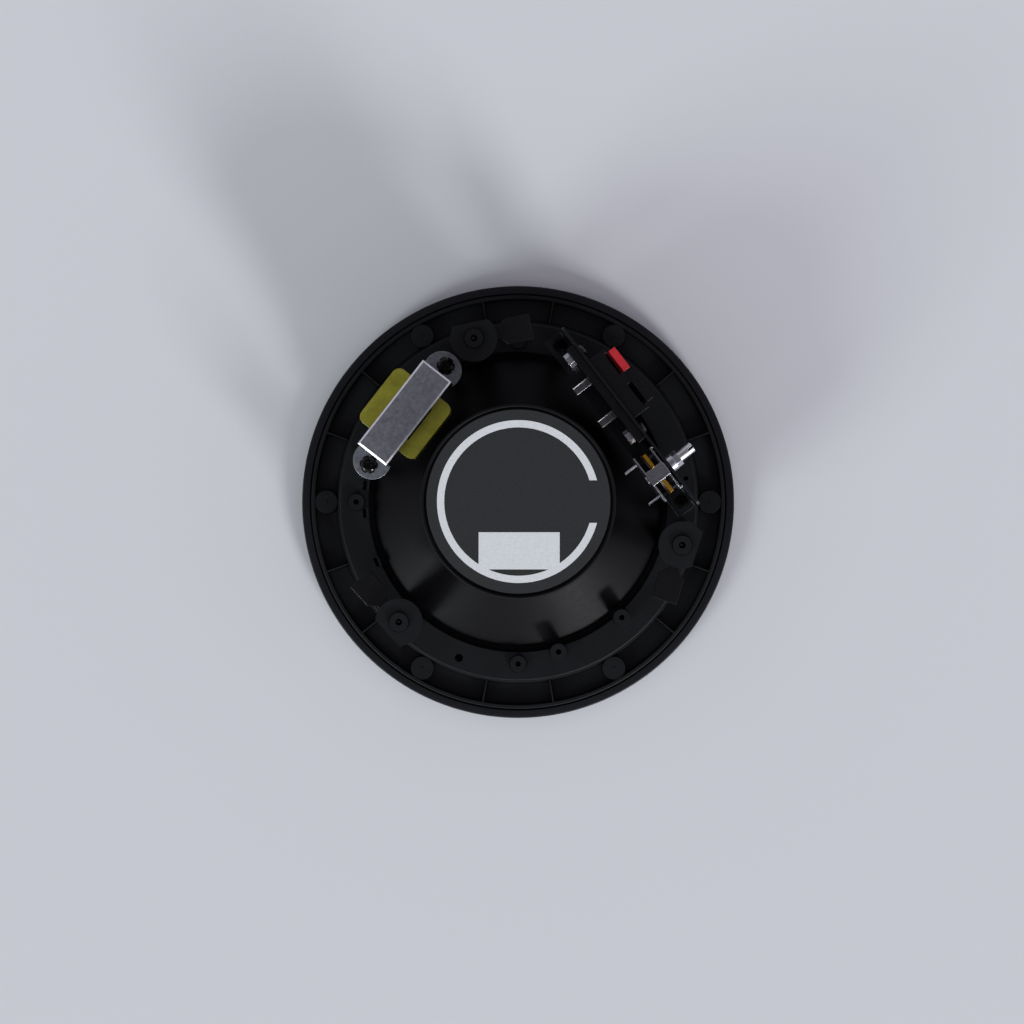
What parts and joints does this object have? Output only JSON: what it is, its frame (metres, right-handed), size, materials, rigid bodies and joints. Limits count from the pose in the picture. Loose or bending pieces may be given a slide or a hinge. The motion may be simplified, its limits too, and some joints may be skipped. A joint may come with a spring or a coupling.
{
  "type": "in ceiling speaker",
  "caption": "Round in ceiling speaker with a perforated grille, swing-out clamps, a magnet cover, a transformer, lever terminals and a rotary selector.",
  "frame": {"origin": "centre of the grille's front face, on the surface that the speaker lies on", "axes": "+Z from the grille to the magnet cover; the outward direction of the terminal bracket lies 37.8 degrees from +X towards +Y"},
  "size_m": [0.236, 0.236, 0.0885],
  "materials": {
    "black_painted_steel": "satin",
    "black_gloss_steel": "gloss",
    "black_oxide_steel": "satin",
    "black_moulding": "matte",
    "black_gloss_moulding": "gloss",
    "red_moulding": "satin",
    "nickel_plated_magnet": "satin",
    "foam": "matte",
    "black_rubber": "matte",
    "cone_paper": "matte",
    "former_paper": "matte",
    "copper_wire": "satin",
    "spider_cloth": "matte",
    "plated_steel": "satin",
    "ferrite": "matte",
    "dome_cloth": "matte",
    "label_film": "matte",
    "print_ink": "matte",
    "brass": "satin",
    "phenolic_board": "matte",
    "gilt_brass": "satin",
    "pale_nylon": "satin",
    "turned_aluminium": "satin",
    "core_steel": "satin",
    "coil_tape": "satin"
  },
  "bodies": {
    "speaker": {"grille": "black_painted_steel", "grille_magnets": "nickel_plated_magnet", "baffle": "black_moulding", "driver_gasket": "foam", "basket": "black_gloss_steel", "driver_screws": "black_oxide_steel", "surround": "black_rubber", "front_ring": "foam", "spider": "spider_cloth", "top_plate": "plated_steel", "ring_magnet": "ferrite", "yoke": "plated_steel", "tweeter_post": "turned_aluminium", "tweeter_nut": "plated_steel", "tweeter_housing": "black_moulding", "tweeter_dome": "dome_cloth", "magnet_cover": "black_gloss_moulding", "cover_label": "label_film", "label_print": "print_ink", "terminal_bracket": "black_painted_steel", "bracket_screws": "black_oxide_steel", "terminal_body": "black_moulding", "solder_tabs": "plated_steel", "terminal_screws": "black_oxide_steel", "terminal_nuts": "plated_steel", "selector_frame": "plated_steel", "selector_bushing": "plated_steel", "selector_nut": "plated_steel", "selector_collar": "black_moulding", "selector_rods": "plated_steel", "selector_spacers": "plated_steel", "selector_wafer": "phenolic_board", "selector_contacts": "gilt_brass", "transformer_core": "core_steel", "transformer_bobbin": "black_moulding", "transformer_coil": "coil_tape", "transformer_strap": "plated_steel", "transformer_screws": "black_oxide_steel", "transformer_washers": "black_oxide_steel"},
    "cone_assembly": {"cone": "cone_paper", "coil_former": "former_paper", "coil_winding": "copper_wire"},
    "selector_spindle": {"selector_shaft": "turned_aluminium", "selector_rotor": "pale_nylon"},
    "red_lever": {"red_lever": "red_moulding"},
    "black_lever": {"black_lever": "black_gloss_moulding"},
    "clamp_screw_1": {"clamp_screw_1": "plated_steel"},
    "clamp_nut_1": {"clamp_nut_1": "brass"},
    "clamp_arm_1": {"clamp_arm_1": "black_moulding"},
    "clamp_screw_2": {"clamp_screw_2": "plated_steel"},
    "clamp_nut_2": {"clamp_nut_2": "brass"},
    "clamp_arm_2": {"clamp_arm_2": "black_moulding"},
    "clamp_screw_3": {"clamp_screw_3": "plated_steel"},
    "clamp_nut_3": {"clamp_nut_3": "brass"},
    "clamp_arm_3": {"clamp_arm_3": "black_moulding"}
  },
  "joints": [
    {"name": "clamp_screw_1_spin", "type": "hinge", "parent": "speaker", "child": "clamp_screw_1", "pos_m": [-0.02354, 0.08666, 0.0135], "axis": [0, 0, 1], "range_deg": [0, 5221]},
    {"name": "clamp_nut_1_travel", "type": "slide", "parent": "speaker", "child": "clamp_nut_1", "axis": [0, 0, -1], "range_m": [0, 0.029]},
    {"name": "clamp_arm_1_swing", "type": "hinge", "parent": "clamp_nut_1", "child": "clamp_arm_1", "pos_m": [-0.02354, 0.08666, 0.054], "axis": [0, 0, 1], "range_deg": [0, 90]},
    {"name": "clamp_screw_2_spin", "type": "hinge", "parent": "speaker", "child": "clamp_screw_2", "pos_m": [-0.06328, -0.06372, 0.0135], "axis": [0, 0, 1], "range_deg": [0, 5221]},
    {"name": "clamp_nut_2_travel", "type": "slide", "parent": "speaker", "child": "clamp_nut_2", "axis": [0, 0, -1], "range_m": [0, 0.029]},
    {"name": "clamp_arm_2_swing", "type": "hinge", "parent": "clamp_nut_2", "child": "clamp_arm_2", "pos_m": [-0.06328, -0.06372, 0.054], "axis": [0, 0, 1], "range_deg": [0, 90]},
    {"name": "clamp_screw_3_spin", "type": "hinge", "parent": "speaker", "child": "clamp_screw_3", "pos_m": [0.08682, -0.02294, 0.0135], "axis": [0, 0, 1], "range_deg": [0, 5221]},
    {"name": "clamp_nut_3_travel", "type": "slide", "parent": "speaker", "child": "clamp_nut_3", "axis": [0, 0, -1], "range_m": [0, 0.029]},
    {"name": "clamp_arm_3_swing", "type": "hinge", "parent": "clamp_nut_3", "child": "clamp_arm_3", "pos_m": [0.08682, -0.02294, 0.054], "axis": [0, 0, 1], "range_deg": [0, 90]},
    {"name": "selector_turn", "type": "hinge", "parent": "speaker", "child": "selector_spindle", "pos_m": [0.08387, 0.0224, 0.0445], "axis": [0.7902, 0.6129, 0], "range_deg": [0, 150]},
    {"name": "red_lever_press", "type": "hinge", "parent": "speaker", "child": "red_lever", "pos_m": [0.05051, 0.07341, 0.0437], "axis": [0.6129, -0.7902, 0], "range_deg": [0, 12], "stiffness_Nm_per_rad": 0.1, "springref_deg": -5.73},
    {"name": "black_lever_press", "type": "hinge", "parent": "speaker", "child": "black_lever", "pos_m": [0.06295, 0.05737, 0.0437], "axis": [0.6129, -0.7902, 0], "range_deg": [0, 12], "stiffness_Nm_per_rad": 0.1, "springref_deg": -5.73},
    {"name": "cone_excursion", "type": "slide", "parent": "speaker", "child": "cone_assembly", "axis": [0, 0, 1], "range_m": [-0.003, 0.003], "stiffness_N_per_m": 1500, "deforming": ["surround", "spider"]}
  ],
  "couplings": [
    {"joint": "clamp_screw_1_spin", "follows": "clamp_nut_1_travel", "rad_per_m": 3141.6},
    {"joint": "clamp_screw_2_spin", "follows": "clamp_nut_2_travel", "rad_per_m": 3141.6},
    {"joint": "clamp_screw_3_spin", "follows": "clamp_nut_3_travel", "rad_per_m": 3141.6}
  ]
}
